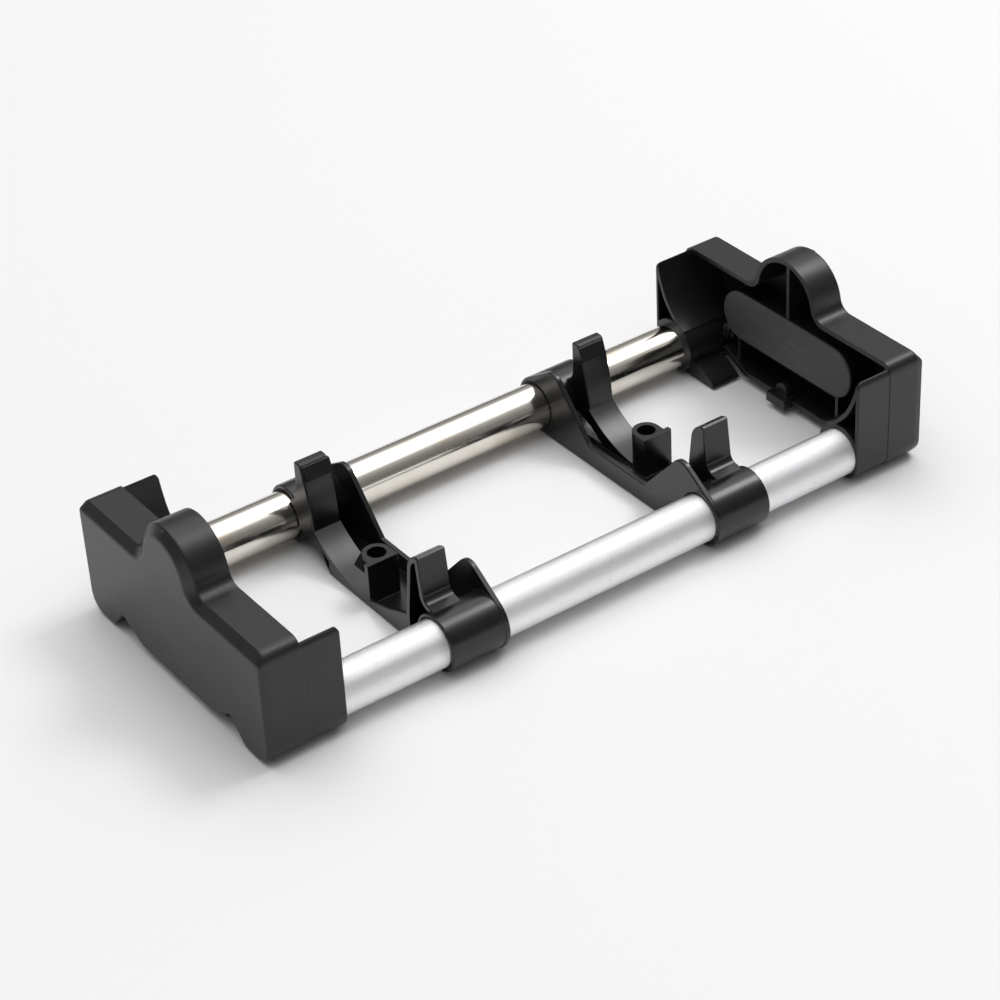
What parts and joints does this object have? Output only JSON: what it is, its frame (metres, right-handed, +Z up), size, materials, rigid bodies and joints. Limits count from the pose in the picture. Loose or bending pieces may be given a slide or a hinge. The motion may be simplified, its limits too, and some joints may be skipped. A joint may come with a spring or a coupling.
{
  "type": "adjustable dumbbell cradle",
  "caption": "Storage cradle of an adjustable dumbbell: humped end housings on a smooth and a knurled tube, with sliding saddle brackets between them.",
  "frame": {"origin": "middle of the footprint, on the floor under the rubber feet", "axes": "+X along the two tubes towards the right housing, -Y to the front (knurled tube), +Z up"},
  "size_m": [0.444, 0.1852, 0.1],
  "materials": {
    "housing_plastic": "satin moulded black",
    "bracket_plastic": "semi-gloss moulded black",
    "pad_plastic": "matt dark grey",
    "nickel_tube": "bright nickel plated",
    "knurled_tube": "fine diamond knurl, bright",
    "plug_nylon": "natural black nylon",
    "black_screws": "black oxide",
    "foot_rubber": "matt",
    "bush_elastomer": "satin"
  },
  "bodies": {
    "frame": {"left_end_housing": "housing_plastic", "right_end_housing": "housing_plastic", "left_bumper_pad": "pad_plastic", "right_bumper_pad": "pad_plastic", "rear_tube": "nickel_tube", "front_tube": "knurled_tube", "left_rear_tube_plug": "plug_nylon", "left_front_tube_plug": "plug_nylon", "right_rear_tube_plug": "plug_nylon", "right_front_tube_plug": "plug_nylon", "tube_screws": "black_screws", "left_rear_foot": "foot_rubber", "left_front_foot": "foot_rubber", "right_rear_foot": "foot_rubber", "right_front_foot": "foot_rubber"},
    "left_bracket": {"left_bracket": "bracket_plastic", "left_bracket_rear_bush": "bush_elastomer", "left_bracket_front_bush": "bush_elastomer"},
    "right_bracket": {"right_bracket": "bracket_plastic", "right_bracket_rear_bush": "bush_elastomer", "right_bracket_front_bush": "bush_elastomer"}
  },
  "joints": [
    {"name": "left_bracket_slide", "type": "slide", "parent": "frame", "child": "left_bracket", "axis": [-1, 0, 0], "range_m": [-0.07, 0.064]},
    {"name": "right_bracket_slide", "type": "slide", "parent": "frame", "child": "right_bracket", "axis": [1, 0, 0], "range_m": [-0.07, 0.064]}
  ]
}
